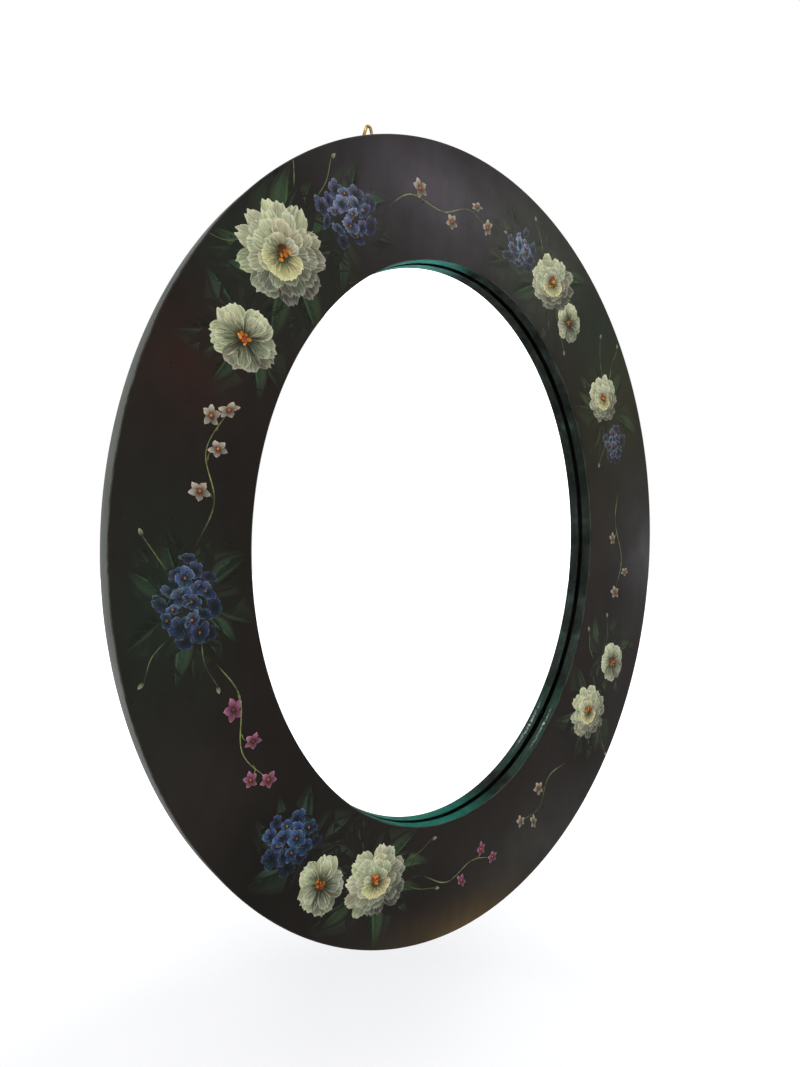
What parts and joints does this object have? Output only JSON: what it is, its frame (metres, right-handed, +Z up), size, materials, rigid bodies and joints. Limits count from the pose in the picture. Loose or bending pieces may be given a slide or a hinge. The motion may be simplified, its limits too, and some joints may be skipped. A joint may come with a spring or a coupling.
{
  "type": "wall mirror",
  "caption": "Oval wall mirror: thick glass set behind a broad flat ring frame of painted wood, held at the back by turn buttons and hung from two brass rings.",
  "frame": {"origin": "middle of the oval on the plane of the frame's back, where the mirror meets the wall", "axes": "+Z up, +Y out of the back towards the wall, -Y out of the painted face, +X to the right of someone looking at the face"},
  "size_m": [0.508, 0.021, 0.6122],
  "materials": {
    "painted_wood": "satin",
    "bare_wood": "matte",
    "glass": "gloss",
    "silver": "polished",
    "card": "matte",
    "hardboard": "matte",
    "zinc_steel": "satin",
    "brass": "satin"
  },
  "bodies": {
    "mirror": {"frame_top": "painted_wood", "frame_right": "painted_wood", "frame_bottom": "painted_wood", "frame_left": "painted_wood", "joint_splines": "bare_wood", "mirror_glass": "glass", "silver_coat": "silver", "backing_card": "card", "backing_board": "hardboard", "turn_button_screws": "zinc_steel", "hanger_strap_left": "brass", "hanger_strap_right": "brass", "hanger_screws": "brass"},
    "turn_button_upper_right": {"turn_button_upper_right": "zinc_steel"},
    "turn_button_top": {"turn_button_top": "zinc_steel"},
    "turn_button_upper_left": {"turn_button_upper_left": "zinc_steel"},
    "turn_button_lower_left": {"turn_button_lower_left": "zinc_steel"},
    "turn_button_bottom": {"turn_button_bottom": "zinc_steel"},
    "turn_button_lower_right": {"turn_button_lower_right": "zinc_steel"},
    "hanger_ring_left": {"hanger_ring_left": "brass"},
    "hanger_ring_right": {"hanger_ring_right": "brass"}
  },
  "joints": [
    {"name": "turn_button_upper_right_turn", "type": "hinge", "parent": "mirror", "child": "turn_button_upper_right", "pos_m": [0.15943, 0.0014, 0.11755], "axis": [0, 1, 0], "continuous": true},
    {"name": "turn_button_top_turn", "type": "hinge", "parent": "mirror", "child": "turn_button_top", "pos_m": [0, 0.0014, 0.2351], "axis": [0, 1, 0], "continuous": true},
    {"name": "turn_button_upper_left_turn", "type": "hinge", "parent": "mirror", "child": "turn_button_upper_left", "pos_m": [-0.15943, 0.0014, 0.11755], "axis": [0, 1, 0], "continuous": true},
    {"name": "turn_button_lower_left_turn", "type": "hinge", "parent": "mirror", "child": "turn_button_lower_left", "pos_m": [-0.15943, 0.0014, -0.11755], "axis": [0, 1, 0], "continuous": true},
    {"name": "turn_button_bottom_turn", "type": "hinge", "parent": "mirror", "child": "turn_button_bottom", "pos_m": [0, 0.0014, -0.2351], "axis": [0, 1, 0], "continuous": true},
    {"name": "turn_button_lower_right_turn", "type": "hinge", "parent": "mirror", "child": "turn_button_lower_right", "pos_m": [0.15943, 0.0014, -0.11755], "axis": [0, 1, 0], "continuous": true},
    {"name": "hanger_ring_left_swing", "type": "hinge", "parent": "mirror", "child": "hanger_ring_left", "pos_m": [-0.07, 0.00198, 0.29169], "axis": [-1, 0, 0], "range_deg": [-12, 165]},
    {"name": "hanger_ring_right_swing", "type": "hinge", "parent": "mirror", "child": "hanger_ring_right", "pos_m": [0.07, 0.00198, 0.29169], "axis": [-1, 0, 0], "range_deg": [-12, 165]}
  ]
}
